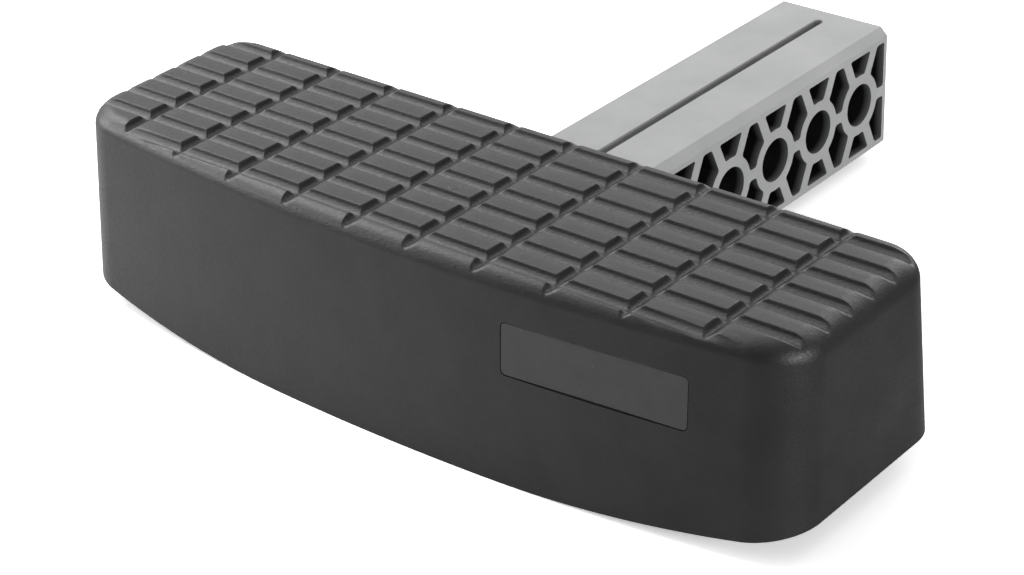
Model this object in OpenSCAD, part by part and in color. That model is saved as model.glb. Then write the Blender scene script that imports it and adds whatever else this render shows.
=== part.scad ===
// Step that plugs into a two-inch hitch receiver behind a vehicle.
// A hollow moulded step with a ribbed underside sits on a separate moulded shank with a lattice in
// each side. X runs along the step, +Y points back along the shank to the receiver, +Z is up. The
// origin is on the ground, at the centre of the whole outline.

/* [Step body] */
// Length of the step along its foot
step_len = 302.4; // [240:0.2:400]
// Depth of the step along its foot, from the middle of the bow to the rear wall
step_depth = 101.8; // [95:0.1:112]
// Height of the tread above the top of the shank
tread_rise = 19.4; // [18:0.2:40]
// Radius of the bowed front
bow_r = 918; // [700:1:3000]
// Lean of the front wall
front_draft = 3.8; // [0:0.1:6]
// Lean of the two end walls
end_draft = 1.7; // [0:0.1:5]
// Lean of the rear wall
rear_draft = 4.4; // [0:0.1:6]
// Radius of the round between the tread and the front and end walls
edge_r = 8.7; // [6:0.1:11]
// Radius of the two front corners seen from above
front_corner_r = 19.5; // [13:0.5:35]
// Radius of the two rear corners seen from above
rear_corner_r = 16; // [12:0.5:25]
// Thickness of the outer walls
wall = 4; // [3:0.1:5.5]
// Thickness of the deck below the tread channels
deck = 4; // [3:0.1:6]
// Length of the flat stretch along the middle of the foot
foot_flat = 90; // [60:1:140]
// Radius of the foot's upward curve towards each end
foot_r = 600; // [450:1:1500]

/* [Tread] */
// Number of channels that run along the step
chan_n = 7; // [3:1:7]
// Spacing of the channels
chan_pitch = 12.13; // [10:0.01:13]
// Width of a channel at the tread
chan_w = 5.4; // [3:0.1:7]
// Lean of a channel's sides
chan_draft = 12; // [0:1:20]
// Width of the rim between the rear wall and the first channel
rear_rim = 7.4; // [3:0.1:8]
// Depth of the channels and cross notches
tread_depth = 2.6; // [1:0.1:3.5]
// Number of cross notches on each side of the middle
notch_n = 5; // [2:1:5]
// Distance between the two cross notches nearest the middle
notch_mid = 25.12; // [16:0.01:28]
// Spacing of the other cross notches
notch_pitch = 27.07; // [18:0.01:28]
// Width of a cross notch at the tread
notch_w = 5.8; // [3:0.1:8]
// Lean of a cross notch's sides
notch_draft = 24; // [0:1:30]

/* [Underside ribs] */
// Thickness of the ribs
rib = 2.6; // [2:0.1:4]
// Thickness of the two cheeks beside the shank
cheek = 4; // [3:0.1:6]
// Spacing of the ribs outside the cheeks
rib_pitch_x = 28; // [22:0.5:40]
// Number of ribs outside each cheek
rib_n = 3; // [1:1:3]
// Height of the ribs' lower edges above the ground
rib_lift = 11; // [10:0.5:30]

/* [Name plate] */
// Length of the bare plate in the front wall
plate_w = 66.8; // [40:0.2:80]
// Height of the plate
plate_h = 18.4; // [12:0.2:24]
// Corner radius of the plate
plate_r = 2; // [0.5:0.1:5]
// Thickness of the plate
plate_t = 0.8; // [0.5:0.1:1.2]
// Depth of the plate's recess at its middle
plate_recess = 1.5; // [1.3:0.1:2]
// Gap around the plate
plate_gap = 0.2; // [0.1:0.05:0.4]
// Distance from the step's right end to the middle of the plate
plate_from_end = 68.2; // [60:0.1:110]
// Distance of the plate's middle below the tread
plate_drop = 25; // [22:0.5:36]

/* [Shank] */
// Width and height of the shank
shank_w = 50; // [46:0.2:60]
// Length of the shank behind the foot of the step
shank_reach = 166.4; // [120:0.1:300]
// Height of the shank's underside above the ground
shank_lift = 3.4; // [1:0.1:10]
// Length of the shank's head inside the step
head_len = 83.6; // [72:0.1:85]
// Chamfer along the shank's edges
shank_chamfer = 3; // [1:0.1:4]
// Gap between the shank and the cheeks
cheek_gap = 0.4; // [0.2:0.1:1]
// Width of the groove along the shank's top
groove_w = 3.7; // [2:0.1:6]
// Depth of the groove
groove_depth = 1.5; // [0.5:0.1:2.5]
// Distance from the end of the groove to the end of the shank
groove_end = 7.5; // [5:0.5:15]

/* [Lattice] */
// Diameter of the hitch pin holes
pin_hole_d = 16.7; // [13:0.1:18]
// Distance from the first hole to the end of the shank
pin_hole_end = 18.6; // [17:0.1:25]
// Spacing of the holes
pin_pitch = 28.4; // [27:0.1:34]
// Wall of the ring around each hole
ring_wall = 3.95; // [3:0.05:4.2]
// Thickness of the slanted struts
strut = 4.4; // [2.5:0.1:5]
// Slope of the slanted struts from level
strut_slope = 65; // [58:1:70]
// Thickness of the level strut between the rings
level_strut = 4.3; // [2.5:0.1:6]
// Thickness of the top and bottom flanges
flange = 5; // [4:0.1:7]
// Thickness of the wall at the shank's end
end_wall = 2; // [1.5:0.1:4]
// Thickness of the upright wall where the shank enters the step
collar = 4; // [3:0.1:6]
// Thickness of the web down the middle of the shank
web = 4; // [3:0.1:6]

/* [Fastening] */
// Spacing of the bolts across the shank
bolt_span_x = 25; // [23:0.5:26]
// Spacing of the bolts along the shank
bolt_span_y = 38; // [30:0.5:40]
// Diameter of the bolts
bolt_d = 8; // [6:0.5:8]
// Diameter of the bolt heads
bolt_head_d = 13; // [11:0.1:13.5]
// Height of the bolt heads
bolt_head_h = 8; // [6:0.1:8.5]
// Width across the flats of the hexagon socket in a bolt head
bolt_key = 6; // [4:0.5:7]
// Length of a bolt that screws into its insert
bolt_bite = 9.4; // [7:0.1:10]
// Gap between a bolt and its hole in the shank
bolt_gap = 0.5; // [0.2:0.1:0.8]
// Outer diameter of the washers
washer_d = 16; // [14:0.1:16.5]
// Thickness of the washers
washer_t = 1.6; // [1:0.1:2]
// Depth of the recess for washer and head under the shank
bolt_recess = 11; // [10.6:0.1:14]
// Wall of the tube around each bolt recess
boss_wall = 2.5; // [2:0.1:2.6]
// Outer diameter of the threaded inserts
insert_d = 12; // [10:0.1:13]
// Length of the threaded inserts
insert_len = 12; // [10.5:0.1:12.4]
// Wall of the boss around each insert
insert_wall = 3; // [2:0.1:4]
// Gap around a bolt's thread and around each insert
thread_gap = 0.1; // [0.05:0.01:0.2]

/* [Hidden] */
$fn = 64;
past = 1;
bow_steps = 28;
corner_steps = 7;
edge_steps = 7;
least_r = 0.8;
hub_in = 14;
boss_gap = 1;

front_y = -(step_depth + shank_reach) / 2;
foot_rear_y = front_y + step_depth;
shank_end_y = -front_y;
head_y = foot_rear_y - head_len;
bow_y = front_y + bow_r;
middle_y = front_y + step_depth / 2;

shank_top = shank_lift + shank_w;
shank_mid = shank_lift + shank_w / 2;
step_h = shank_top + tread_rise;
chan_floor = step_h - tread_depth;
deck_under = chan_floor - deck;
plate_x = step_len / 2 - plate_from_end;
rear_top_y = foot_rear_y - step_h * tan(rear_draft);
first_chan_y = rear_top_y - rear_rim - chan_w / 2;

ring_r = pin_hole_d / 2 + ring_wall;
window_end = shank_end_y - end_wall;
ring_n = floor((shank_reach - pin_hole_end - ring_r) / pin_pitch) + 1;

counterbore_r = washer_d / 2 + bolt_gap;
boss_r = counterbore_r + boss_wall;
bolt_seat = shank_lift + bolt_recess;
first_bolt_y = head_y + web + boss_r + boss_gap;
bolt_ys = [first_bolt_y, first_bolt_y + bolt_span_y];
bolt_places = [for (y = bolt_ys) for (s = [-1, 1]) [s * bolt_span_x / 2, y]];
cross_pitch = bolt_span_y / 2;
cross_ys = [for (i = [-1:2]) bolt_ys[0] + i * cross_pitch];

// A corner's points and outward directions, leaving out the first or the last one if asked
function corner(x, y, r, from, to, first = 0, last = corner_steps) =
    [for (i = [first:last]) let (a = from + (to - from) * i / corner_steps)
        [x + r * cos(a), y + r * sin(a), a]];

// The wall's outline at a height: a bowed front, straight ends and rear, and four round corners.
// Each point is [x, y, outward direction].
function outline(z, inset) =
    let (end = step_len / 2 - z * tan(end_draft) - inset)
    let (bow = bow_r - z * tan(front_draft) - inset)
    let (rear = foot_rear_y - z * tan(rear_draft) - inset)
    let (fr = max(front_corner_r - inset, least_r))
    let (rr = max(rear_corner_r - inset, least_r))
    let (half = asin((end - fr) / (bow - fr)))
    let (fy = bow_y - sqrt(pow(bow - fr, 2) - pow(end - fr, 2)))
    concat(
        [for (i = [0:bow_steps]) let (a = -90 - half + 2 * half * i / bow_steps)
            [bow * cos(a), bow_y + bow * sin(a), a]],
        corner(end - fr, fy, fr, half - 90, 0, first = 1),
        corner(end - rr, rear - rr, rr, 0, 90),
        corner(rr - end, rear - rr, rr, 90, 180),
        corner(fr - end, fy, fr, 180, 270 - half, last = corner_steps - 1));

// One ring of the loft around the edge round, at an angle up from level
function round_ring(top, inset, r, up) =
    let (back = r * (1 - cos(up)))
    [for (p = outline(top - r, inset))
        [p[0] - back * cos(p[2]), p[1] - back * sin(p[2]), top - r + r * sin(up)]];

// Corner of a ring that a point is nearest to: front right, rear right, rear left or front left
function quarter(p) = p[1] < middle_y ? (p[0] > 0 ? 0 : 3) : (p[0] > 0 ? 1 : 2);

// A point inside each corner of a ring
function hubs(ring) =
    let (x = max([for (p = ring) p[0]]) - hub_in)
    let (front = ring[0][1] + hub_in)
    let (rear = max([for (p = ring) p[1]]) - hub_in)
    [for (at = [[x, front], [x, rear], [-x, rear], [-x, front]]) [at[0], at[1], ring[0][2]]];

// Faces that close a ring by fans to its four hubs, so that none of them is a long sliver
function cap(ring, start, first_hub) =
    let (n = len(ring))
    concat([[for (i = [0:3]) first_hub + i]],
        [for (k = [0:n - 1]) let (here = quarter(ring[k]), next = quarter(ring[(k + 1) % n]))
            concat([first_hub + here, start + k, start + (k + 1) % n],
                here == next ? [] : [first_hub + next])]);

function reversed(list) = [for (i = [len(list) - 1:-1:0]) list[i]];

// Closed solid through rings of points that all have the same count
module loft(rings) {
    n = len(rings[0]);
    last = len(rings) - 1;
    hub = n * (last + 1);
    sides = [for (j = [0:last - 1]) for (k = [0:n - 1])
        let (a = j * n + k, b = j * n + (k + 1) % n)
        each [[a, b + n, b], [a, a + n, b + n]]];
    foot = cap(rings[0], 0, hub);
    lid = [for (face = cap(rings[last], last * n, hub + 4)) reversed(face)];
    polyhedron(points = concat([for (ring = rings) each ring], hubs(rings[0]), hubs(rings[last])),
        faces = concat(foot, lid, sides));
}

// The step's rounded body, from a height below up to its top, with its walls moved in by inset
module body_form(bottom, top, inset, r) {
    foot = [for (p = outline(bottom, inset)) [p[0], p[1], bottom]];
    loft(concat([foot],
        [for (i = [0:edge_steps]) round_ring(top, inset, r, 90 * i / edge_steps)]));
}

// Drafted slot shape, open at the top and narrower at its floor
module slot_shape(w, draft) {
    foot_half = w / 2 - tread_depth * tan(draft);
    top_half = w / 2 + past * tan(draft);
    polygon([[-foot_half, chan_floor], [foot_half, chan_floor],
        [top_half, step_h + past], [-top_half, step_h + past]]);
}

module channels() {
    for (i = [0:chan_n - 1])
        translate([0, first_chan_y - i * chan_pitch, 0])
            rotate([90, 0, 90]) linear_extrude(step_len + 2 * past, center = true)
                slot_shape(chan_w, chan_draft);
}

module notches() {
    for (s = [-1, 1], i = [0:notch_n - 1])
        translate([s * (notch_mid / 2 + i * notch_pitch), front_y - past, 0])
            rotate([90, 0, 180]) linear_extrude(step_depth + 2 * past)
                slot_shape(notch_w, notch_draft);
}

// Ribs and insert bosses that stay standing in the step's cavity
module ribs() {
    rib_h = step_h - rib_lift;
    first_x = shank_w / 2 + cheek_gap + cheek;
    translate([-rib / 2, front_y, rib_lift]) cube([rib, step_depth, rib_h]);
    for (s = [-1, 1]) {
        translate([s * (first_x - cheek / 2) - cheek / 2, front_y, rib_lift])
            cube([cheek, step_depth, rib_h]);
        for (i = [1:rib_n])
            translate([s * (first_x - rib / 2 + i * rib_pitch_x) - rib / 2, front_y, rib_lift])
                cube([rib, step_depth, rib_h]);
    }
    for (y = cross_ys)
        translate([-step_len / 2, y - rib / 2, rib_lift]) cube([step_len, rib, rib_h]);
    for (p = bolt_places)
        translate([p[0], p[1], rib_lift]) cylinder(r = insert_d / 2 + insert_wall, h = rib_h);
}

// Puts a flat shape on the bowed front wall, with Y into the wall
module on_front(x, z) {
    r = bow_r - z * tan(front_draft);
    translate([0, bow_y, z]) rotate(asin(x / r)) translate([0, -r, 0]) rotate([-front_draft, 0, 0])
        children();
}

// Rounded rectangle that stands in the wall between two depths
module plate_shape(w, h, r, from, to) {
    translate([0, to, 0]) rotate([90, 0, 0]) linear_extrude(to - from) union() {
        square([w - 2 * r, h], center = true);
        square([w, h - 2 * r], center = true);
        for (sx = [-1, 1], sy = [-1, 1]) translate([sx * (w / 2 - r), sy * (h / 2 - r)]) circle(r);
    }
}

module foot_curve() {
    span = step_len / 2 + past - foot_flat / 2;
    for (s = [0, 1]) mirror([s, 0, 0])
        translate([foot_flat / 2, shank_end_y, 0]) rotate([90, 0, 0])
            linear_extrude(2 * shank_end_y) difference() {
                translate([0, -past]) square([span, span / 2]);
                translate([0, foot_r]) circle(foot_r, $fn = 360);
            }
}

module step_shell() {
    color("#2c2c2e") difference() {
        body_form(0, step_h, 0, edge_r);
        difference() {
            body_form(-past, deck_under, wall, max(edge_r - wall, least_r));
            ribs();
        }
        translate([-shank_w / 2 - cheek_gap, head_y, -past])
            cube([shank_w + 2 * cheek_gap, step_depth, shank_top + past]);
        channels();
        notches();
        foot_curve();
        on_front(plate_x, step_h - plate_drop)
            plate_shape(plate_w, plate_h, plate_r, -past, plate_recess);
        for (p = bolt_places)
            translate([p[0], p[1], shank_top - past])
                cylinder(d = insert_d + 2 * thread_gap, h = insert_len + past);
    }
}

// Square bar with every long edge chamfered
module bar() {
    half = shank_w / 2;
    cut = shank_chamfer;
    length = shank_end_y - head_y;
    octagon = [[-half, cut - half], [cut - half, -half], [half - cut, -half], [half, cut - half],
        [half, half - cut], [half - cut, half], [cut - half, half], [-half, half - cut]];
    translate([0, shank_end_y, shank_mid]) rotate([90, 0, 0]) linear_extrude(length) polygon(octagon);
}

// Rings, slanted struts and level strut of one side, seen along X
module lattice_struts() {
    for (i = [0:ring_n]) translate([shank_end_y - pin_hole_end - i * pin_pitch, 0]) {
        if (i < ring_n) circle(ring_r);
        for (s = [-1, 1]) rotate(s * strut_slope) square([2 * shank_w, strut], center = true);
    }
    translate([foot_rear_y, -level_strut / 2]) square([shank_reach, level_strut]);
}

// Openings of the lattice behind the step, and the plain pocket of the head inside it
module lattice_cells() {
    high = shank_w - 2 * flange;
    difference() {
        translate([foot_rear_y, -high / 2]) square([window_end - foot_rear_y, high]);
        lattice_struts();
    }
    translate([head_y + web, -high / 2]) square([head_len - web - collar, high]);
}

module side_pockets() {
    for (s = [0, 1]) mirror([s, 0, 0]) difference() {
        translate([web / 2, 0, shank_mid]) rotate([90, 0, 90])
            linear_extrude(shank_w / 2) lattice_cells();
        for (p = bolt_places)
            translate([p[0], p[1], shank_lift]) cylinder(r = boss_r, h = shank_w);
    }
}

module groove() {
    length = shank_end_y - groove_end - head_y;
    translate([0, head_y - past, shank_top - groove_depth]) linear_extrude(groove_depth + past) {
        translate([-groove_w / 2, 0]) square([groove_w, length + past - groove_w / 2]);
        translate([0, length + past - groove_w / 2]) circle(d = groove_w);
    }
}

module shank() {
    color("#a3a5a6") difference() {
        bar();
        side_pockets();
        groove();
        for (i = [0:ring_n - 1])
            translate([0, shank_end_y - pin_hole_end - i * pin_pitch, shank_mid]) rotate([0, 90, 0])
                cylinder(d = pin_hole_d, h = shank_w + 2 * past, center = true);
        for (p = bolt_places) translate([p[0], p[1], 0]) {
            translate([0, 0, shank_lift - past]) cylinder(r = counterbore_r, h = bolt_recess + past);
            translate([0, 0, shank_lift]) cylinder(d = bolt_d + 2 * bolt_gap, h = shank_w + past);
        }
    }
}

module name_plate() {
    color("#0d0d0f") on_front(plate_x, step_h - plate_drop)
        plate_shape(plate_w - 2 * plate_gap, plate_h - 2 * plate_gap, plate_r - plate_gap,
            plate_recess - plate_t, plate_recess);
}

// Brass inserts moulded into the bosses under the deck
module thread_inserts() {
    color("goldenrod") for (p = bolt_places)
        translate([p[0], p[1], shank_top]) difference() {
            cylinder(d = insert_d, h = insert_len);
            translate([0, 0, -past]) cylinder(d = bolt_d + 2 * thread_gap, h = insert_len + 2 * past);
        }
}

module bolt_washers() {
    color("silver") for (p = bolt_places)
        translate([p[0], p[1], bolt_seat - washer_t]) difference() {
            cylinder(d = washer_d, h = washer_t);
            translate([0, 0, -past]) cylinder(d = bolt_d + bolt_gap, h = washer_t + 2 * past);
        }
}

// Cap screws that run up through the shank into the inserts
module shank_bolts() {
    head_top = bolt_seat - washer_t;
    color("#5b5f63") for (p = bolt_places)
        translate([p[0], p[1], head_top - bolt_head_h]) difference() {
            union() {
                cylinder(d = bolt_head_d, h = bolt_head_h);
                cylinder(d = bolt_d, h = shank_top + bolt_bite - head_top + bolt_head_h);
            }
            translate([0, 0, -past])
                cylinder(d = bolt_key / cos(30), h = bolt_head_h / 2 + past, $fn = 6);
        }
}

step_shell();
shank();
name_plate();
thread_inserts();
bolt_washers();
shank_bolts();
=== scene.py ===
import math

import bmesh
import bpy
import numpy as np
from mathutils import Matrix, Vector


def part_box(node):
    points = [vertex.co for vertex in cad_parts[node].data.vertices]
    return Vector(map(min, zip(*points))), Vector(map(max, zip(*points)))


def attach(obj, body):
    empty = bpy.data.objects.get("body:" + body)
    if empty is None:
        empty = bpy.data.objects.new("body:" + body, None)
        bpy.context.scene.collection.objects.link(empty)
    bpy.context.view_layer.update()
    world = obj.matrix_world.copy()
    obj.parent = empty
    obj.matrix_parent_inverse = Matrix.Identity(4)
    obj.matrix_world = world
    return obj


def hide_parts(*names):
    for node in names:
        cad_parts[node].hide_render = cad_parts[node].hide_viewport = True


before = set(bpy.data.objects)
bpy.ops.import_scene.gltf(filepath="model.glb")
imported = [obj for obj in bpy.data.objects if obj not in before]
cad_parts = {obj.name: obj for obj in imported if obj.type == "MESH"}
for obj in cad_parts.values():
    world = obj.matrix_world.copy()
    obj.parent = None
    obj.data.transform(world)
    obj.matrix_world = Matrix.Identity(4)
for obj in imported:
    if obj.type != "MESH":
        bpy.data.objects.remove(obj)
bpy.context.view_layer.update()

# The step itself: one hollow moulding in black glass-filled nylon, open below. Its bowed front, ends
# and rear lean inwards for the mould, and the tread is cut by seven channels and ten cross notches
# that run out through the rounded edges. Sizes are in millimetres and become metres as a mesh is made.
MM = 0.001
step_low, step_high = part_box("step_shell")
FRONT_Y = step_low[1] / MM
TOP = step_high[2] / MM
STEP_LEN = 302.4
STEP_DEPTH = 101.8
BOW_R = 918.0
FOOT_REAR_Y = FRONT_Y + STEP_DEPTH
BOW_Y = FRONT_Y + BOW_R
FRONT_DRAFT = math.tan(math.radians(3.8))
END_DRAFT = math.tan(math.radians(1.7))
REAR_DRAFT = math.tan(math.radians(4.4))
FRONT_CORNER_R = 19.5
REAR_CORNER_R = 16.0
EDGE_R = 8.7
FRONT_EDGE_R = 6.4

# A channel or notch has a steep wall down to a kink, a hollow from there to its deepest line, and a
# straight slope up to the other lip. The deepest line is an offset from the middle, towards the wall.
CHANNELS = 7
CHANNEL_PITCH = 12.13
CHANNEL_HALF = 2.7
CHANNEL_DEEPEST = 0.0
NOTCHES_A_SIDE = 5
NOTCH_MIDDLE = 12.56
NOTCH_PITCH = 27.07
NOTCH_HALF = 2.9
NOTCH_DEEPEST = 1.0
TREAD_DEPTH = 2.65
KINK_DEPTH = 1.2
KINK_IN = 0.25
REAR_RIM = 7.4
LIP_SOFT = 0.9
CROSSING_SOFT = 0.35
first_channel = FOOT_REAR_Y - TOP * REAR_DRAFT - REAR_RIM - CHANNEL_HALF
channel_ys = first_channel - CHANNEL_PITCH * np.arange(CHANNELS)
right_notches = NOTCH_MIDDLE + NOTCH_PITCH * np.arange(NOTCHES_A_SIDE)
notch_xs = np.concatenate([-right_notches, right_notches])


def wall_lines(z):
    """Where the end, bow, rear and front corner centre lie at height z."""
    end = STEP_LEN / 2 - z * END_DRAFT
    bow = BOW_R - z * FRONT_DRAFT
    rear = FOOT_REAR_Y - z * REAR_DRAFT
    corner_y = BOW_Y - np.sqrt((bow - FRONT_CORNER_R) ** 2 - (end - FRONT_CORNER_R) ** 2)
    half = np.arcsin((end - FRONT_CORNER_R) / (bow - FRONT_CORNER_R))
    return end, bow, rear, corner_y, half


def round_radius(direction):
    """Radius of the edge round in an outward direction: tighter at the front, full elsewhere."""
    from_front = np.abs(direction + math.pi / 2)
    front_share = np.clip(1 - from_front / (math.pi / 2), 0, 1)
    return EDGE_R + (FRONT_EDGE_R - EDGE_R) * front_share


def outline(side, u, z):
    """Points of the wall's outline and their outward directions. side is front, rear or end, and u
    runs 0 to 3 along the front and rear (corner, long side, corner), 0 to 1 along the right end."""
    end, bow, rear, corner_y, half = wall_lines(z)
    if side == "end":
        return end + 0 * u, corner_y + (rear - REAR_CORNER_R - corner_y) * u, 0 * u
    on_long_side = (u > 1) & (u < 2)
    mirror = np.where(u < 1.5, -1.0, 1.0)
    from_middle = np.where(u < 1.5, 3 - u, u)
    turn = np.clip(from_middle - 2, 0, 1)
    if side == "front":
        a = -math.pi / 2 + half + turn * (math.pi / 2 - half)
        x = end - FRONT_CORNER_R + FRONT_CORNER_R * np.cos(a)
        y = corner_y + FRONT_CORNER_R * np.sin(a)
        along = half * (u - 1.5) * 2
        x = np.where(on_long_side, bow * np.sin(along), mirror * x)
        y = np.where(on_long_side, BOW_Y - bow * np.cos(along), y)
        a = np.where(on_long_side, along - math.pi / 2, np.where(mirror > 0, a, -math.pi - a))
        return x, y, a
    a = math.pi / 2 * (1 - turn)
    x = end - REAR_CORNER_R + REAR_CORNER_R * np.cos(a)
    y = rear - REAR_CORNER_R + REAR_CORNER_R * np.sin(a)
    x = np.where(on_long_side, (u - 1.5) * 2 * (end - REAR_CORNER_R), mirror * x)
    y = np.where(on_long_side, rear, y)
    a = np.where(on_long_side, math.pi / 2, np.where(mirror > 0, a, math.pi - a))
    return x, y, a


def on_round(side, u, up):
    """Points of the edge round at an angle up from level."""
    _, _, a = outline(side, u, TOP - EDGE_R)
    r = round_radius(a)
    x, y, a = outline(side, u, TOP - r)
    back = r * (1 - math.cos(up))
    return np.stack([x - back * np.cos(a), y - back * np.sin(a), TOP - r + r * math.sin(up)], -1)


def soft_min(a, b, width):
    """The lower of two heights, blended where they come within width of each other."""
    h = np.clip(width - np.abs(a - b), 0, None)
    return np.minimum(a, b) - h * h / (4 * width)


def slot_height(offset, half, deepest):
    """Height of a channel's or notch's surface at an offset from its middle towards its wall."""
    inner = half - KINK_IN - deepest
    hollow = KINK_DEPTH + (TREAD_DEPTH - KINK_DEPTH) * (1 - ((offset - deepest) / inner) ** 2)
    lip = KINK_DEPTH * (half - offset) / KINK_IN
    slope = TREAD_DEPTH * (offset + half) / (half + deepest)
    return TOP - np.where(offset > deepest, np.minimum(hollow, lip), slope)


def nearest(offsets):
    """From each point's offsets to all the slots, the one to the slot nearest to it."""
    which = np.argmin(np.abs(offsets), -1)[..., None]
    return np.take_along_axis(offsets, which, -1)[..., 0]


def tread_cut(x, y):
    """Height to which the channels and notches cut the step down at each point."""
    channel = slot_height(nearest(y[..., None] - channel_ys), CHANNEL_HALF, CHANNEL_DEEPEST)
    notch = slot_height(nearest(notch_xs - x[..., None]), NOTCH_HALF, NOTCH_DEEPEST)
    return soft_min(channel, notch, CROSSING_SOFT)


def drop(inside, r):
    """Height of the top's rounded edge, of radius r, at a distance inside the wall."""
    d = np.clip(inside, 0, r)
    return TOP - r + np.sqrt(np.clip(r * r - (r - d) ** 2, 0, None))


def rounded_height(x, y):
    """Height of the step's rounded body, before the tread is cut."""
    end, _, rear, _, _ = wall_lines(TOP - EDGE_R)
    _, bow, _, corner_y, _ = wall_lines(TOP - FRONT_EDGE_R)
    across = np.abs(x)
    z = np.minimum(drop(bow - np.hypot(x, BOW_Y - y), FRONT_EDGE_R), drop(end - across, EDGE_R))
    z = np.minimum(z, drop(rear - y, EDGE_R))
    fx = across - (end - FRONT_CORNER_R)
    fy = y - corner_y
    in_front = (fx > 0) & (fy < 0)
    r = round_radius(np.arctan2(np.where(in_front, fy, 0), np.where(in_front, fx, 1)))
    z = np.where(in_front, drop(FRONT_CORNER_R - np.hypot(fx, fy), r), z)
    rx = across - (end - REAR_CORNER_R)
    ry = y - (rear - REAR_CORNER_R)
    return np.where((rx > 0) & (ry > 0), drop(REAR_CORNER_R - np.hypot(rx, ry), EDGE_R), z)


# The skin's mesh is fine where the surface turns: at the slots' lips and kinks, and near the edges.
# Its cap reaches down the edge round to the rim angle, and rings carry on from there to the ground.
RIM_UP = math.radians(28)
FINE = 0.45
LEAST_GAP = 0.1


def slot_lines(middles, half):
    """Grid lines that follow a slot's two lips, its kinks and its bottom."""
    lip = [half + FINE, half + 0.2, half + 0.06, half - 0.08]
    kink = [half - KINK_IN + 0.05, half - KINK_IN - 0.06, half - KINK_IN - 0.25]
    bottom = [half * share for share in (0.72, 0.54, 0.36, 0.18)]
    offsets = np.array(lip + kink + bottom)
    return (np.array(middles)[:, None] + np.concatenate([-offsets, offsets])).ravel()


def thinned(values):
    """Sorted values, without those that lie too close to the one before."""
    kept = []
    for value in sorted(values):
        if not kept or value - kept[-1] >= LEAST_GAP:
            kept.append(value)
    return np.array(kept)


def column_places():
    """Where the cap's columns stand along the step, and where they meet the front and the rear."""
    u = np.linspace(0, 3, 3001)
    front_rim = on_round("front", u, RIM_UP)
    rear_rim = on_round("rear", u, RIM_UP)
    reach = front_rim[-1, 0]
    on_pads = np.concatenate([notch_xs + 9, notch_xs - 9, [0]])
    near_end = reach - np.concatenate([np.linspace(0.05, 0.4, 4), np.arange(0.75, 16, FINE)])
    between = np.concatenate([notch_xs, on_pads, near_end, -near_end])
    xs = thinned(np.concatenate([slot_lines(notch_xs, NOTCH_HALF), between[np.abs(between) < reach]]))
    xs = np.concatenate([[-reach], xs[np.abs(xs) < reach - 0.02], [reach]])
    return xs, np.interp(xs, front_rim[:, 0], u), np.interp(xs, rear_rim[:, 0], u)


def cap_columns(xs, front_u, rear_u):
    """The cap's points seen from above, and each column's point numbers and places front to rear."""
    front_y = on_round("front", front_u, RIM_UP)[:, 1]
    rear_y = on_round("rear", rear_u, RIM_UP)[:, 1]
    ys = slot_lines(channel_ys, CHANNEL_HALF)
    ys = np.concatenate([ys, channel_ys, channel_ys + CHANNEL_PITCH / 2])
    in_front = np.concatenate([[0.1, 0.25], np.arange(0.5, 9, FINE)])
    in_rear = np.concatenate([[0.15, 0.4], np.arange(0.8, 9, 0.6)])
    off_rim = 0.08
    points = []
    columns = []
    for i, x in enumerate(xs):
        inner = np.concatenate([ys, front_y[i] + in_front, rear_y[i] - in_rear])
        inner = thinned(inner[(inner > front_y[i] + off_rim) & (inner < rear_y[i] - off_rim)])
        column = np.concatenate([[front_y[i]], inner, [rear_y[i]]])
        columns.append((len(points) + np.arange(len(column)), column))
        points += [(x, y) for y in column]
    return np.array(points), columns


def faces_between(columns):
    """Faces from each column to the next: four-sided where their points pair up, else three-sided."""
    faces = []
    for (a, ya), (b, yb) in zip(columns, columns[1:]):
        i = j = 0
        while i < len(a) - 1 or j < len(b) - 1:
            step_a = i < len(a) - 1
            step_b = j < len(b) - 1
            if step_a and step_b and abs(ya[i + 1] - yb[j + 1]) < LEAST_GAP / 2:
                faces.append((a[i], b[j], b[j + 1], a[i + 1]))
                i += 1
                j += 1
            elif step_a and (not step_b or ya[i + 1] < yb[j + 1]):
                faces.append((a[i], b[j], a[i + 1]))
                i += 1
            else:
                faces.append((a[i], b[j], b[j + 1]))
                j += 1
    return faces


def skin_ring(loop, kind, value):
    """One ring round the step: at an angle up the edge round, or at a share of the wall's height."""
    ring = []
    for side, u, flip, _ in loop:
        if kind == "round":
            part = on_round(side, u, value)
        else:
            _, _, a = outline(side, u, TOP - EDGE_R)
            height = (TOP - round_radius(a)) * value
            x, y, _ = outline(side, u, height)
            part = np.stack([x, y, height + 0 * x], -1)
        part[:, 0] *= flip
        ring.append(part)
    ring = np.vstack(ring)
    ring[:, 2] = soft_min(ring[:, 2], tread_cut(ring[:, 0], ring[:, 1]), LIP_SOFT)
    return ring


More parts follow.
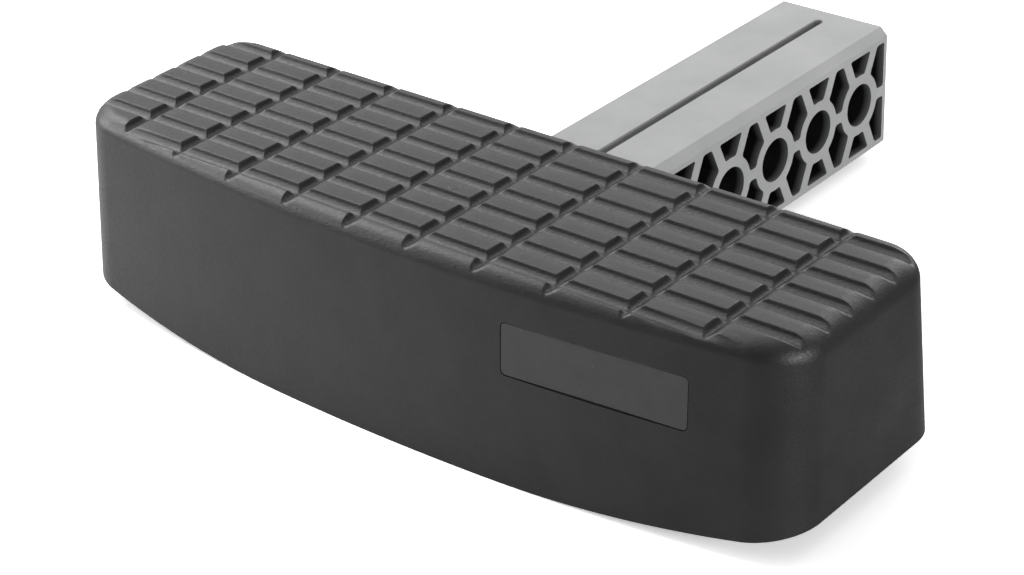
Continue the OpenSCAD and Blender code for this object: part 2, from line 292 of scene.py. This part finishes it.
def step_skin():
    """The closed outer skin: a cap of columns over the tread, and rings down the walls."""
    xs, front_u, rear_u = column_places()
    points, columns = cap_columns(xs, front_u, rear_u)
    x, y = points.T
    verts = [np.column_stack([points, soft_min(rounded_height(x, y), tread_cut(x, y), LIP_SOFT)])]
    faces = faces_between(columns)

    first, last = columns[0], columns[-1]
    end_u = ((last[1] - last[1][0]) / (last[1][-1] - last[1][0]))[1:-1]
    loop = [("front", front_u, 1, [column[0][0] for column in columns]),
            ("end", end_u, 1, list(last[0][1:-1])),
            ("rear", rear_u[::-1], 1, [column[0][-1] for column in columns][::-1]),
            ("end", end_u[::-1], -1, list(first[0][1:-1][::-1]))]
    rim = [k for part in loop for k in part[3]]
    levels = [("round", RIM_UP * share) for share in (0.84, 0.68, 0.52, 0.36, 0.18, 0)]
    levels += [("wall", share) for share in (0.99, 0.975, 0.955, 0.93, 0.85, 0.7, 0.5, 0.3, 0.12, -0.06)]
    verts += [skin_ring(loop, kind, value) for kind, value in levels]
    count = len(rim)
    upper = rim
    for level in range(len(levels)):
        start = len(points) + level * count
        lower = range(start, start + count)
        for k in range(count):
            m = (k + 1) % count
            faces.append((upper[k], lower[k], lower[m], upper[m]))
        upper = lower
    return np.vstack(verts), faces + [tuple(reversed(upper))]


def facing_out(obj):
    """Turns every face of a closed mesh outwards."""
    bm = bmesh.new()
    bm.from_mesh(obj.data)
    bmesh.ops.recalc_face_normals(bm, faces=bm.faces)
    bm.to_mesh(obj.data)
    bm.free()
    return obj


def solid(name, verts, faces):
    """A new object from points in millimetres and faces."""
    mesh = bpy.data.meshes.new(name)
    corners = [tuple(point) for point in np.asarray(verts) * MM]
    mesh.from_pydata(corners, [], [tuple(int(k) for k in face) for face in faces])
    mesh.validate()
    obj = bpy.data.objects.new(name, mesh)
    bpy.context.scene.collection.objects.link(obj)
    return facing_out(obj)


def turned_into_mesh(obj):
    """Applies an object's modifiers, so that its mesh is the final one."""
    evaluated = obj.evaluated_get(bpy.context.evaluated_depsgraph_get())
    mesh = bpy.data.meshes.new_from_object(evaluated)
    obj.modifiers.clear()
    obj.data = mesh


def cut_away(obj, *cutters, overlapping=False):
    """Takes each cutter's space out of an object and deletes the cutter. A cutter whose own shapes
    run into each other is overlapping."""
    for cutter in cutters:
        boolean = obj.modifiers.new("cut", "BOOLEAN")
        boolean.operation = "DIFFERENCE"
        boolean.solver = "EXACT"
        boolean.object = cutter
        boolean.use_self = overlapping
        turned_into_mesh(obj)
        bpy.data.objects.remove(cutter)


def tube_faces(n, rings=2):
    """Faces of a closed form made of rings of n points, with both ends shut."""
    faces = []
    for ring in range(rings - 1):
        for k in range(n):
            m = (k + 1) % n
            faces.append((ring * n + k, ring * n + m, (ring + 1) * n + m, (ring + 1) * n + k))
    top = (rings - 1) * n
    return faces + [tuple(range(n))[::-1], tuple(range(top, top + n))]


def block(x0, x1, y0, y1, z0, z1):
    """Corners and faces of a box."""
    verts = [(x, y, z) for x in (x0, x1) for y in (y0, y1) for z in (z0, z1)]
    return verts, [(0, 1, 3, 2), (4, 6, 7, 5), (0, 4, 5, 1), (2, 3, 7, 6), (0, 2, 6, 4), (1, 5, 7, 3)]


def post(x, y, r, z0, z1, sides=48):
    """Corners and faces of an upright round post."""
    turn = [2 * math.pi * k / sides for k in range(sides)]
    verts = [(x + r * math.cos(a), y + r * math.sin(a), z) for z in (z0, z1) for a in turn]
    return verts, tube_faces(sides)


def joined(name, shapes):
    """One object from several lists of corners and faces."""
    verts = []
    faces = []
    for shape_verts, shape_faces in shapes:
        faces += [tuple(k + len(verts) for k in face) for face in shape_faces]
        verts += list(shape_verts)
    return solid(name, verts, faces)


# The inside of the step: a cavity with 4 mm walls, a rib grid, a socket for the shank between two
# cheeks, and four bosses that hold brass inserts. The foot curves up towards both ends.
WALL = 4.0
DECK_UNDER = TOP - 6.6
RIB = 2.6
RIB_PITCH = 28.0
RIB_LIFT = 11.0
CHEEK = 4.0
SHANK_TOP = 53.4
SOCKET_HALF = 25.4
SOCKET_PAST_BOLTS = 16.0
FOOT_FLAT = 90.0
FOOT_R = 600.0
BELOW = -9.0
GROUND_REACH = 200
GROUND_DEEP = 30
BOSS_R = 9.0
INSERT_R = 6.0
INSERT_HOLE_R = 6.1
INSERT_LEN = 12.0
insert_low, insert_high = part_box("thread_inserts")
boss_xs = [insert_low[0] / MM + INSERT_R, insert_high[0] / MM - INSERT_R]
boss_ys = [insert_low[1] / MM + INSERT_R, insert_high[1] / MM - INSERT_R]


def cavity_shape():
    """Rings of the hollow, from below the foot up to the underside of the deck."""
    u = np.concatenate([np.linspace(0, 1, 13), np.linspace(1.04, 1.96, 24), np.linspace(2, 3, 13)])
    levels = [("wall", -4.0)] + [("round", math.radians(a)) for a in range(0, 91, 15)]
    least_r = 0.8
    verts = []
    for kind, value in levels:
        for side, us in (("front", u), ("rear", u[::-1])):
            a = outline(side, us, TOP)[2]
            r = np.maximum(round_radius(a) - WALL, least_r)
            height = DECK_UNDER - r if kind == "round" else value + 0 * r
            x, y, a = outline(side, us, height)
            back = WALL + (r * (1 - math.cos(value)) if kind == "round" else 0)
            lift = r * math.sin(value) if kind == "round" else 0
            verts += list(np.stack([x - back * np.cos(a), y - back * np.sin(a), height + lift], -1))
    return verts, tube_faces(2 * len(u), len(levels))


def rib_shapes():
    """The grid of ribs, cheeks and bosses, all standing up into the deck."""
    first = SOCKET_HALF + CHEEK
    spans = [(-RIB / 2, RIB / 2)]
    for s in (-1, 1):
        spans.append(sorted((s * SOCKET_HALF, s * first)))
        for i in (1, 2, 3):
            x = s * (first - RIB / 2 + RIB_PITCH * i)
            spans.append((x - RIB / 2, x + RIB / 2))
    shapes = [block(x0, x1, FRONT_Y, FOOT_REAR_Y, RIB_LIFT, TOP) for x0, x1 in spans]
    pitch = (boss_ys[1] - boss_ys[0]) / 2
    for i in (-1, 0, 1, 2):
        y = boss_ys[0] + i * pitch
        shapes.append(block(-STEP_LEN / 2, STEP_LEN / 2, y - RIB / 2, y + RIB / 2, RIB_LIFT, TOP))
    return shapes + [post(x, y, BOSS_R, RIB_LIFT, TOP) for x in boss_xs for y in boss_ys]


def foot_shape(side):
    """The space below one end of the foot."""
    out = STEP_LEN / 2 + 2
    xs = np.linspace(FOOT_FLAT / 2, out, 40)
    zs = FOOT_R - np.sqrt(FOOT_R ** 2 - (xs - FOOT_FLAT / 2) ** 2)
    profile = [(side * x, z) for x, z in zip(xs, zs)]
    profile += [(side * out, BELOW), (side * FOOT_FLAT / 2, BELOW)]
    verts = [(x, y, z) for y in (FRONT_Y - 5, FOOT_REAR_Y + 5) for x, z in profile]
    return verts, tube_faces(len(profile))


def smoothed(obj):
    """Shades an object smooth, with an edge left sharp where its faces turn 38 degrees or more."""
    bm = bmesh.new()
    bm.from_mesh(obj.data)
    for face in bm.faces:
        face.smooth = True
    for edge in bm.edges:
        edge.smooth = len(edge.link_faces) == 2 and edge.calc_face_angle(0) < math.radians(38)
    bm.to_mesh(obj.data)
    bm.free()


# The front wall has a shallow recess for the name plate, right of the middle.
PLATE_X = 83.0
PLATE_DROP = 25.0
PLATE_W = 66.8
PLATE_H = 18.4
PLATE_R = 2.0
PLATE_RECESS = 1.5
PLATE_CORNERS = 32


def plate_outline(w, h, r, from_in, to_in):
    """Corners and faces of a rounded plate let into the bowed front wall between two depths."""
    z = TOP - PLATE_DROP
    bow = BOW_R - z * FRONT_DRAFT
    swing = Matrix.Translation((0, BOW_Y, z)) @ Matrix.Rotation(math.asin(PLATE_X / bow), 4, "Z")
    swing = swing @ Matrix.Translation((0, -bow, 0)) @ Matrix.Rotation(-math.atan(FRONT_DRAFT), 4, "X")
    ring = []
    for k in range(PLATE_CORNERS):
        a = 2 * math.pi * (k + 0.5) / PLATE_CORNERS
        ring.append((math.copysign(w / 2 - r, math.cos(a)) + r * math.cos(a),
                     math.copysign(h / 2 - r, math.sin(a)) + r * math.sin(a)))
    verts = [swing @ Vector((px, depth, pz)) for depth in (from_in, to_in) for px, pz in ring]
    return verts, tube_faces(PLATE_CORNERS)


step = solid("step", *step_skin())
cavity = solid("cavity", *cavity_shape())
cut_away(cavity, joined("ribs", rib_shapes()), overlapping=True)
ground = joined("ground", [block(-GROUND_REACH, GROUND_REACH, -GROUND_REACH, 0, -GROUND_DEEP, 0)])
feet = joined("feet", [foot_shape(-1), foot_shape(1)])
socket_front = boss_ys[0] - SOCKET_PAST_BOLTS
socket = joined("socket", [block(-SOCKET_HALF, SOCKET_HALF, socket_front, 0, BELOW, SHANK_TOP)])
holes = joined("insert holes", [post(x, y, INSERT_HOLE_R, SHANK_TOP - 1, SHANK_TOP + INSERT_LEN)
                                for x in boss_xs for y in boss_ys])
recess = joined("recess", [plate_outline(PLATE_W, PLATE_H, PLATE_R, -2, PLATE_RECESS)])
cut_away(step, ground, feet, socket, cavity, holes, recess)
smoothed(step)


def finish(name, colour, roughness, specular=0.5, metal=0.0):
    """A new material with a plain colour and roughness, its node tree and its shader."""
    material = bpy.data.materials.new(name)
    material.use_nodes = True
    shader = material.node_tree.nodes["Principled BSDF"]
    shader.inputs["Base Color"].default_value = (*colour, 1)
    shader.inputs["Roughness"].default_value = roughness
    shader.inputs["Specular IOR Level"].default_value = specular
    shader.inputs["Metallic"].default_value = metal
    return material, material.node_tree, shader


def own_place(tree):
    """Each point's place on the object, in metres."""
    return tree.nodes.new("ShaderNodeTexCoord").outputs["Object"]


def noise(tree, scale, detail=3.0, stretch=(1, 1, 1)):
    """Noise that is fixed to the object, in grains per metre."""
    spread = tree.nodes.new("ShaderNodeMapping")
    spread.inputs["Scale"].default_value = stretch
    grain = tree.nodes.new("ShaderNodeTexNoise")
    grain.inputs["Scale"].default_value = scale
    grain.inputs["Detail"].default_value = detail
    tree.links.new(own_place(tree), spread.inputs["Vector"])
    tree.links.new(spread.outputs["Vector"], grain.inputs["Vector"])
    return grain.outputs["Fac"]


def ramp(tree, source, low_value, high_value, low_at=0.3, high_at=0.7):
    """A grey between two values, which follows another value between two stops."""
    node = tree.nodes.new("ShaderNodeMapRange")
    node.inputs["From Min"].default_value = low_at
    node.inputs["From Max"].default_value = high_at
    node.inputs["To Min"].default_value = low_value
    node.inputs["To Max"].default_value = high_value
    tree.links.new(source, node.inputs["Value"])
    return node.outputs["Result"]


def tinted(tree, shader, source, dark, light):
    """Lets the colour drift between two tones with a value."""
    mix = tree.nodes.new("ShaderNodeMix")
    mix.data_type = "RGBA"
    mix.inputs["A"].default_value = (*dark, 1)
    mix.inputs["B"].default_value = (*light, 1)
    tree.links.new(source, mix.inputs["Factor"])
    tree.links.new(mix.outputs["Result"], shader.inputs["Base Color"])


def clouded(tree, shader, scale, dark, light):
    """Lets the colour drift between two tones in soft clouds."""
    tinted(tree, shader, ramp(tree, noise(tree, scale), 0, 1), dark, light)


def grained(tree, shader, source, strength, depth):
    """Raises the surface by a value, to a depth in millimetres."""
    bump = tree.nodes.new("ShaderNodeBump")
    bump.inputs["Strength"].default_value = strength
    bump.inputs["Distance"].default_value = depth * MM
    tree.links.new(source, bump.inputs["Height"])
    tree.links.new(bump.outputs["Normal"], shader.inputs["Normal"])


def wears(obj, material):
    """Gives every face of an object one material."""
    obj.data.materials.clear()
    obj.data.materials.append(material)


# The black nylon has a fine grain, and one small round moulding mark on the tread.
MARK_AT = (0.6, -90.9)
MARK_R = 2.0
MARK_SOFT = 0.4
MARK_RISE = 2.0
MOULD_GRAIN = 1500
STEP_TONES = (0.015, 0.015, 0.0155), (0.022, 0.022, 0.0225)
nylon, tree, shader = finish("black nylon", (0.03, 0.03, 0.031), 0.42)
clouded(tree, shader, 60, *STEP_TONES)
tree.links.new(ramp(tree, noise(tree, 900), 0.38, 0.5), shader.inputs["Roughness"])
from_mark = tree.nodes.new("ShaderNodeVectorMath")
from_mark.operation = "DISTANCE"
from_mark.inputs[1].default_value = [c * MM for c in (*MARK_AT, TOP)]
tree.links.new(own_place(tree), from_mark.inputs[0])
mark = ramp(tree, from_mark.outputs["Value"], MARK_RISE, 0, (MARK_R - MARK_SOFT) * MM, MARK_R * MM)
surface = tree.nodes.new("ShaderNodeMath")
tree.links.new(noise(tree, MOULD_GRAIN, stretch=(0.5, 1, 1)), surface.inputs[0])
tree.links.new(mark, surface.inputs[1])
grained(tree, shader, surface.outputs["Value"], 0.8, 0.12)
wears(step, nylon)
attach(step, "root")
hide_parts("step_shell")

# The name plate: a thin moulded plate in glossy black plastic, pressed into a shallow recess in the
# front wall. It is left bare.
PLATE_T = 0.8
PLATE_GAP = 0.2
PLATE_EDGE = 0.2
PLATE_TONES = (0.046, 0.046, 0.047), (0.056, 0.056, 0.057)


def rounded_edges(obj, width):
    """Bevels every edge steeper than 32 degrees, by a width in millimetres."""
    bevel = obj.modifiers.new("soft edges", "BEVEL")
    bevel.width = width * MM
    bevel.segments = 2
    bevel.limit_method = "ANGLE"
    bevel.angle_limit = math.radians(32)


def flat_beside_rounds(obj):
    """Keeps broad faces flat to the light where they meet narrow rounded edges."""
    weighted = obj.modifiers.new("flat faces stay flat", "WEIGHTED_NORMAL")
    weighted.keep_sharp = True
    weighted.weight = 90
    turned_into_mesh(obj)


plate_size = PLATE_W - 2 * PLATE_GAP, PLATE_H - 2 * PLATE_GAP, PLATE_R - PLATE_GAP
plate = joined("name_plate_cover", [plate_outline(*plate_size, PLATE_RECESS - PLATE_T, PLATE_RECESS)])
rounded_edges(plate, PLATE_EDGE)
turned_into_mesh(plate)
smoothed(plate)
flat_beside_rounds(plate)
gloss, tree, shader = finish("gloss black plate", (0.02, 0.02, 0.021), 0.2)
clouded(tree, shader, 120, *PLATE_TONES)
tree.links.new(ramp(tree, noise(tree, 300), 0.18, 0.28), shader.inputs["Roughness"])
grained(tree, shader, noise(tree, 400, 1), 0.15, 0.05)
wears(plate, gloss)
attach(plate, "root")
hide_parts("name_plate")

# The shank: a second moulding, in mid-grey glass-filled nylon, pushed into the step's socket and
# bolted there. Rings for the hitch pin and slanted struts stand out from a middle web on both sides.
GROOVE_HALF = 1.85
GROOVE_DEPTH = 3.3
GROOVE_END = 7.5
CELL_CORNER = 1.1
SHANK_EDGE = 0.3
CELLS_REACH = 21.0
FLANGES_FROM = 22.5
SHANK_TONES = (0.36, 0.363, 0.366), (0.42, 0.422, 0.424)
shank_low, shank_high = (np.array(corner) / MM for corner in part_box("shank"))
shank_middle_z = (shank_low[2] + shank_high[2]) / 2


def merged_faces(obj):
    """Joins the flat faces that the CAD mesh has split into triangles."""
    bm = bmesh.new()
    bm.from_mesh(obj.data)
    bmesh.ops.remove_doubles(bm, verts=bm.verts, dist=1e-6)
    bmesh.ops.dissolve_limit(bm, angle_limit=math.radians(1), verts=bm.verts, edges=bm.edges)
    bm.to_mesh(obj.data)
    bm.free()


def rounded_cells(obj, width):
    """Rounds the corners of the lattice's cells, which run across the shank."""
    bm = bmesh.new()
    bm.from_mesh(obj.data)
    picked = []
    for edge in bm.edges:
        span = (edge.verts[1].co - edge.verts[0].co) / MM
        across = abs(span.x) > 15 and math.hypot(span.y, span.z) < 0.01
        off_middle = max(abs(vert.co.z / MM - shank_middle_z) for vert in edge.verts)
        turns = len(edge.link_faces) == 2 and edge.calc_face_angle(0) > math.radians(20)
        if across and turns and off_middle < CELLS_REACH:
            picked.append(edge)
    bmesh.ops.bevel(bm, geom=picked, offset=width * MM, segments=3, profile=0.5, affect="EDGES")
    bm.to_mesh(obj.data)
    bm.free()


shank = bpy.data.objects.new("lattice_shank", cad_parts["shank"].data.copy())
bpy.context.scene.collection.objects.link(shank)
merged_faces(shank)
rounded_cells(shank, CELL_CORNER)
tip_y = shank_high[1] - GROOVE_END - GROOVE_HALF
groove_z = shank_high[2] - GROOVE_DEPTH, shank_high[2] + 1
groove = joined("groove", [block(-GROOVE_HALF, GROOVE_HALF, shank_low[1] - 1, tip_y, *groove_z)])
tip = joined("groove tip", [post(0, tip_y, GROOVE_HALF, *groove_z, sides=32)])
cut_away(shank, groove, tip)
rounded_edges(shank, SHANK_EDGE)
turned_into_mesh(shank)
smoothed(shank)
flat_beside_rounds(shank)
grey_nylon, tree, shader = finish("grey nylon", (0.4, 0.4, 0.4), 0.5)
clouded(tree, shader, 45, *SHANK_TONES)
tree.links.new(ramp(tree, noise(tree, 700), 0.42, 0.56), shader.inputs["Roughness"])
grained(tree, shader, noise(tree, MOULD_GRAIN), 0.25, 0.1)
wears(shank, grey_nylon)

# Inside its cells the moulding carries painted shade: its colour is near black deep in the cells and
# lightens towards their mouths.
MOUTH_FROM = 21.5
MOUTH_TO = 25.2
CELL_PAINTED_SHADE_TONES = (0.008, 0.008, 0.008), (0.22, 0.222, 0.224)
# This material paints the shade of the deep pockets into the colour, going by the distance out from the
# shank's middle.
cell_nylon_painted_shade, tree, shader = finish("nylon with painted shade inside the cells", (0.05, 0.05, 0.05), 0.6, specular=0.2)
axes = tree.nodes.new("ShaderNodeSeparateXYZ")
tree.links.new(own_place(tree), axes.inputs["Vector"])
out_from_middle = tree.nodes.new("ShaderNodeMath")
out_from_middle.operation = "ABSOLUTE"
tree.links.new(axes.outputs["X"], out_from_middle.inputs[0])
shade_fade_to_mouth = ramp(tree, out_from_middle.outputs["Value"], 0, 1, MOUTH_FROM * MM, MOUTH_TO * MM)
tinted(tree, shader, shade_fade_to_mouth, *CELL_PAINTED_SHADE_TONES)
grained(tree, shader, noise(tree, MOULD_GRAIN), 0.25, 0.1)
shank.data.materials.append(cell_nylon_painted_shade)
# Faces inside the cells (not on the sides, the end or the flanges) take the painted shade material.
for face in shank.data.polygons:
    x, y, z = (c / MM for c in face.center)
    on_side = abs(x) > shank_high[0] - 0.05
    on_end = y > shank_high[1] - 0.05
    on_flange = abs(z - shank_middle_z) > FLANGES_FROM
    face.material_index = 0 if on_side or on_end or on_flange else 1
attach(shank, "root")
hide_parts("shank")

# The fastening: four brass inserts moulded into bosses under the deck, and four black steel cap
# screws with zinc-plated washers that go up through the shank's head into them.
INSERT_EDGE = 0.25
WASHER_EDGE = 0.2
BOLT_EDGE = 0.5
BRASS_TONES = (0.66, 0.46, 0.18), (0.76, 0.57, 0.27)
ZINC_TONES = (0.52, 0.53, 0.55), (0.7, 0.7, 0.69)
OXIDE_TONES = (0.035, 0.035, 0.04), (0.075, 0.075, 0.08)
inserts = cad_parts["thread_inserts"]
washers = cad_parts["bolt_washers"]
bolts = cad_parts["shank_bolts"]
brass, tree, shader = finish("brass", (0.72, 0.52, 0.22), 0.3, metal=1.0)
clouded(tree, shader, 200, *BRASS_TONES)
grained(tree, shader, noise(tree, 1200, 1, stretch=(1, 1, 0.2)), 0.8, 0.3)
wears(inserts, brass)
zinc, tree, shader = finish("zinc plating", (0.62, 0.62, 0.63), 0.35, metal=1.0)
clouded(tree, shader, 350, *ZINC_TONES)
grained(tree, shader, noise(tree, 900, 2), 0.3, 0.1)
wears(washers, zinc)
oxide, tree, shader = finish("black oxide", (0.05, 0.05, 0.055), 0.38, metal=0.8)
clouded(tree, shader, 300, *OXIDE_TONES)
grained(tree, shader, noise(tree, 1500, 2), 0.3, 0.1)
wears(bolts, oxide)
rounded_edges(inserts, INSERT_EDGE)
rounded_edges(washers, WASHER_EDGE)
rounded_edges(bolts, BOLT_EDGE)

# The stage: white paper under the step, soft lights high and low on the left, behind and on the
# right. The paper and the room look white to the camera. In the black plastic the paper shows a
# painted reflection, bright in a patch close to the step and dark further out, and the bright side
# of the room shines there too, behind on the left and above.
PAPER_HALF = 9000
PAPER = 0.85
PAPER_SEEN = 1.5
PAPER_GLOW = 0.35
PAPER_PAINTED_REFLECTION_NEAR = 1.0
PAPER_PAINTED_REFLECTION_FAR = 0.06
PAINTED_REFLECTION_AROUND = (-0.15, -0.12, 0)
PAINTED_REFLECTION_WITHIN = 0.12
PAINTED_REFLECTION_OUT_TO = 0.5
paper_corners = [(x * PAPER_HALF, y * PAPER_HALF, 0) for x, y in ((-1, -1), (1, -1), (1, 1), (-1, 1))]
floor = solid("floor", paper_corners, [(0, 1, 2, 3)])
paper, tree, shader = finish("white paper", (PAPER, PAPER, PAPER), 0.95, specular=0.0)
rays = tree.nodes.new("ShaderNodeLightPath")
# A painted reflection: to glossy rays the paper is full white within a round patch close to the step and
# nearly black further out.
distance = tree.nodes.new("ShaderNodeVectorMath")
distance.operation = "DISTANCE"
distance.inputs[1].default_value = PAINTED_REFLECTION_AROUND
tree.links.new(own_place(tree), distance.inputs[0])
painted_reflection = ramp(tree, distance.outputs["Value"], PAPER_PAINTED_REFLECTION_NEAR, PAPER_PAINTED_REFLECTION_FAR,
                PAINTED_REFLECTION_WITHIN, PAINTED_REFLECTION_OUT_TO)


def chosen(tree, by, otherwise, value):
    """One of two values: the second where a ray is of the named kind."""
    mix = tree.nodes.new("ShaderNodeMix")
    tree.links.new(by, mix.inputs["Factor"])
    for socket, source in (("A", otherwise), ("B", value)):
        if isinstance(source, float):
            mix.inputs[socket].default_value = source
        else:
            tree.links.new(source, mix.inputs[socket])
    return mix.outputs["Result"]


# Glossy rays see the paper with the painted reflection, camera rays see it white.
tint = chosen(tree, rays.outputs["Is Glossy Ray"], PAPER, painted_reflection)
tint = chosen(tree, rays.outputs["Is Camera Ray"], tint, PAPER_SEEN)
tree.links.new(tint, shader.inputs["Base Color"])
glow = chosen(tree, rays.outputs["Is Camera Ray"], 0.0, PAPER_GLOW)
tree.links.new(glow, shader.inputs["Emission Strength"])
shader.inputs["Emission Color"].default_value = (1, 1, 1, 1)
wears(floor, paper)

ROOM_LIGHT = 0.3
ROOM_SEEN = 1.0
ROOM_BRIGHT = 1.1
ROOM_DARK = 0.04
BRIGHT_TOWARDS = (-0.55, 0.5, 0.67)
room = bpy.context.scene.world or bpy.data.worlds.new("room")
bpy.context.scene.world = room
room.use_nodes = True
tree = room.node_tree
background = tree.nodes["Background"]
background.inputs["Color"].default_value = (1, 1, 1, 1)
rays = tree.nodes.new("ShaderNodeLightPath")
towards = tree.nodes.new("ShaderNodeVectorMath")
towards.operation = "DOT_PRODUCT"
towards.inputs[1].default_value = BRIGHT_TOWARDS
tree.links.new(tree.nodes.new("ShaderNodeTexCoord").outputs["Generated"], towards.inputs[0])
bright_side = ramp(tree, towards.outputs["Value"], ROOM_DARK, ROOM_BRIGHT, 0.2, 0.8)
level = chosen(tree, rays.outputs["Is Glossy Ray"], ROOM_LIGHT, bright_side)
level = chosen(tree, rays.outputs["Is Camera Ray"], level, ROOM_SEEN)
tree.links.new(level, background.inputs["Strength"])


def soft_light(name, at, width, height, power):
    """A rectangular soft light at one point, turned to face the step."""
    lamp = bpy.data.lights.new(name, "AREA")
    lamp.shape = "RECTANGLE"
    lamp.size = width
    lamp.size_y = height
    lamp.energy = power
    obj = bpy.data.objects.new(name, lamp)
    bpy.context.scene.collection.objects.link(obj)
    obj.location = at
    aim = Vector((0, -0.06, 0.05)) - Vector(at)
    obj.rotation_euler = aim.to_track_quat("-Z", "Y").to_euler()


soft_light("light high on the left", (-0.9, -0.1, 0.9), 0.8, 0.8, 11.0)
soft_light("light low on the left", (-1.2, -0.6, 0.35), 0.8, 0.5, 10.0)
soft_light("light behind", (0, 1.35, 0.7), 0.9, 0.7, 8.0)
soft_light("light on the right", (1.3, -0.2, 0.3), 0.7, 0.4, 9.0)

AZIMUTH = math.radians(40.01)
ELEVATION = math.radians(29.02)
ROLL = math.radians(-2.36)
CAMERA_AT = Vector((0.4993, -0.6582, 0.4537))
LENS = 92.09
SENSOR = 36.0
ahead = Vector((-math.sin(AZIMUTH) * math.cos(ELEVATION),
                math.cos(AZIMUTH) * math.cos(ELEVATION), -math.sin(ELEVATION)))
level_right = ahead.cross(Vector((0, 0, 1))).normalized()
level_up = level_right.cross(ahead)
right = math.cos(ROLL) * level_right + math.sin(ROLL) * level_up
up = math.cos(ROLL) * level_up - math.sin(ROLL) * level_right
camera = bpy.data.objects.new("camera", bpy.data.cameras.new("camera"))
bpy.context.scene.collection.objects.link(camera)
camera.data.lens = LENS
camera.data.sensor_width = SENSOR
camera.data.clip_start = 0.01
camera.data.clip_end = 50
camera.matrix_world = Matrix.Translation(CAMERA_AT) @ Matrix((right, up, -ahead)).transposed().to_4x4()
bpy.context.scene.camera = camera
bpy.context.scene.view_settings.view_transform = "Standard"
